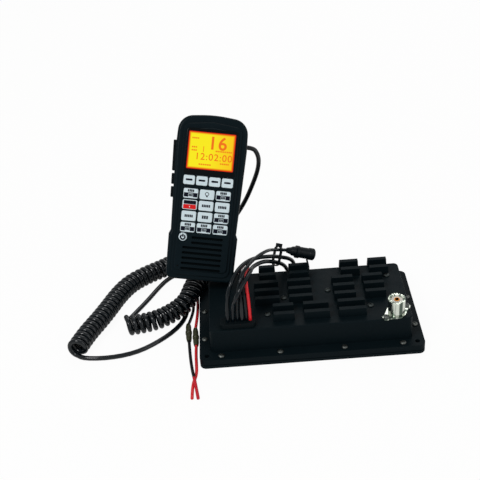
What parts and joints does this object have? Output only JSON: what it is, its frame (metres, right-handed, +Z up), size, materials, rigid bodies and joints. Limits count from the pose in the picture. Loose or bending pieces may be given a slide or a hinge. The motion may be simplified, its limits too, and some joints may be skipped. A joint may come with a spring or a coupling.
{
  "type": "vhf marine radio",
  "caption": "Marine radio: a flat finned transceiver box with screwed flange, leads and coiled cord, and its keypad handset standing against it.",
  "frame": {"origin": "centre of the mounting plate's underside, which rests on the panel", "axes": "+X along the transceiver's length to its antenna socket side, +Y to its back where the cords lead off, +Z up out of the panel"},
  "size_m": [0.3375, 0.2164, 0.1858],
  "materials": {
    "black_paint": "fine matt powder coat",
    "black_rubber": "matt",
    "steel": "dull zinc plate",
    "board": "solder resist",
    "component": "matt",
    "nickel": "bright nickel plate",
    "white_insulator": "smooth",
    "gold": "plated",
    "black_cable": "satin jacket",
    "red_cable": "satin insulation",
    "fuse_plastic": "matt",
    "black_plastic": "satin",
    "case_plastic": "fine texture",
    "window": "clear with a dark border",
    "display": "backlit amber",
    "key_grey": "smooth"
  },
  "bodies": {
    "transceiver": {"mounting_plate": "black_paint", "panel_gasket": "black_rubber", "chassis": "black_paint", "flange_screws": "steel", "deck_screws": "steel", "main_board": "board", "rf_shield": "steel", "power_amplifier": "component", "cable_grommet": "black_rubber", "antenna_socket": "nickel", "antenna_insulator": "white_insulator", "antenna_contact": "gold", "antenna_screws": "steel", "speaker_lead": "black_cable", "data_lead": "black_cable", "accessory_lead": "black_cable", "sleeved_lead": "black_cable", "sleeved_lead_end": "red_cable", "red_lead": "red_cable", "red_lead_end": "red_cable", "handset_lead_lower": "black_cable", "handset_coil": "black_cable", "handset_lead_upper": "black_cable", "accessory_connector": "black_plastic", "connector_strap": "black_plastic", "cable_tie": "black_plastic", "fuse_holders": "fuse_plastic"},
    "handset": {"front_case": "case_plastic", "rear_case": "case_plastic", "case_seal": "black_rubber", "display_window": "window", "display_module": "display", "keypad_mat": "black_rubber", "control_board": "board", "speaker": "component", "microphone": "component", "case_screws": "steel", "hanger_stud": "steel", "cord_gland": "black_rubber"},
    "key_1_cap": {"key_1": "key_grey"},
    "key_2_cap": {"key_2": "key_grey"},
    "key_3_cap": {"key_3": "key_grey"},
    "key_4_cap": {"key_4": "key_grey"},
    "key_5_cap": {"key_5": "key_grey"},
    "key_6_cap": {"key_6": "key_grey"},
    "key_7_cap": {"key_7": "key_grey"},
    "key_8_cap": {"key_8": "key_grey"},
    "key_9_cap": {"key_9": "key_grey"},
    "key_10_cap": {"key_10": "key_grey"},
    "key_11_cap": {"key_11": "key_grey"},
    "key_12_cap": {"key_12": "key_grey"},
    "soft_key_1_cap": {"soft_key_1": "key_grey"},
    "soft_key_2_cap": {"soft_key_2": "key_grey"},
    "soft_key_3_cap": {"soft_key_3": "key_grey"},
    "soft_key_4_cap": {"soft_key_4": "key_grey"},
    "power_key_cap": {"power_key": "key_grey"},
    "ptt_key_cap": {"ptt_key": "black_plastic"},
    "volume_down_key_cap": {"volume_down_key": "black_plastic"},
    "volume_up_key_cap": {"volume_up_key": "black_plastic"}
  },
  "joints": [
    {"name": "handset_lift", "type": "slide", "parent": "transceiver", "child": "handset", "axis": [0, 0, 1], "range_m": [0, 0.06]},
    {"name": "key_1_press", "type": "slide", "parent": "handset", "child": "key_1_cap", "axis": [-0.0399, 0.8471, -0.5299], "range_m": [0, 0.0008], "stiffness_N_per_m": 200},
    {"name": "key_2_press", "type": "slide", "parent": "handset", "child": "key_2_cap", "axis": [-0.0399, 0.8471, -0.5299], "range_m": [0, 0.0008], "stiffness_N_per_m": 200},
    {"name": "key_3_press", "type": "slide", "parent": "handset", "child": "key_3_cap", "axis": [-0.0399, 0.8471, -0.5299], "range_m": [0, 0.0008], "stiffness_N_per_m": 200},
    {"name": "key_4_press", "type": "slide", "parent": "handset", "child": "key_4_cap", "axis": [-0.0399, 0.8471, -0.5299], "range_m": [0, 0.0008], "stiffness_N_per_m": 200},
    {"name": "key_5_press", "type": "slide", "parent": "handset", "child": "key_5_cap", "axis": [-0.0399, 0.8471, -0.5299], "range_m": [0, 0.0008], "stiffness_N_per_m": 200},
    {"name": "key_6_press", "type": "slide", "parent": "handset", "child": "key_6_cap", "axis": [-0.0399, 0.8471, -0.5299], "range_m": [0, 0.0008], "stiffness_N_per_m": 200},
    {"name": "key_7_press", "type": "slide", "parent": "handset", "child": "key_7_cap", "axis": [-0.0399, 0.8471, -0.5299], "range_m": [0, 0.0008], "stiffness_N_per_m": 200},
    {"name": "key_8_press", "type": "slide", "parent": "handset", "child": "key_8_cap", "axis": [-0.0399, 0.8471, -0.5299], "range_m": [0, 0.0008], "stiffness_N_per_m": 200},
    {"name": "key_9_press", "type": "slide", "parent": "handset", "child": "key_9_cap", "axis": [-0.0399, 0.8471, -0.5299], "range_m": [0, 0.0008], "stiffness_N_per_m": 200},
    {"name": "key_10_press", "type": "slide", "parent": "handset", "child": "key_10_cap", "axis": [-0.0399, 0.8471, -0.5299], "range_m": [0, 0.0008], "stiffness_N_per_m": 200},
    {"name": "key_11_press", "type": "slide", "parent": "handset", "child": "key_11_cap", "axis": [-0.0399, 0.8471, -0.5299], "range_m": [0, 0.0008], "stiffness_N_per_m": 200},
    {"name": "key_12_press", "type": "slide", "parent": "handset", "child": "key_12_cap", "axis": [-0.0399, 0.8471, -0.5299], "range_m": [0, 0.0008], "stiffness_N_per_m": 200},
    {"name": "soft_key_1_press", "type": "slide", "parent": "handset", "child": "soft_key_1_cap", "axis": [-0.0399, 0.8471, -0.5299], "range_m": [0, 0.0008], "stiffness_N_per_m": 200},
    {"name": "soft_key_2_press", "type": "slide", "parent": "handset", "child": "soft_key_2_cap", "axis": [-0.0399, 0.8471, -0.5299], "range_m": [0, 0.0008], "stiffness_N_per_m": 200},
    {"name": "soft_key_3_press", "type": "slide", "parent": "handset", "child": "soft_key_3_cap", "axis": [-0.0399, 0.8471, -0.5299], "range_m": [0, 0.0008], "stiffness_N_per_m": 200},
    {"name": "soft_key_4_press", "type": "slide", "parent": "handset", "child": "soft_key_4_cap", "axis": [-0.0399, 0.8471, -0.5299], "range_m": [0, 0.0008], "stiffness_N_per_m": 200},
    {"name": "power_key_press", "type": "slide", "parent": "handset", "child": "power_key_cap", "axis": [-0.0399, 0.8471, -0.5299], "range_m": [0, 0.0008], "stiffness_N_per_m": 200},
    {"name": "ptt_key_press", "type": "slide", "parent": "handset", "child": "ptt_key_cap", "axis": [0.9847, -0.0566, -0.1647], "range_m": [0, 0.001], "stiffness_N_per_m": 200},
    {"name": "volume_down_key_press", "type": "slide", "parent": "handset", "child": "volume_down_key_cap", "axis": [0.9847, -0.0566, -0.1647], "range_m": [0, 0.001], "stiffness_N_per_m": 200},
    {"name": "volume_up_key_press", "type": "slide", "parent": "handset", "child": "volume_up_key_cap", "axis": [0.9847, -0.0566, -0.1647], "range_m": [0, 0.001], "stiffness_N_per_m": 200}
  ]
}
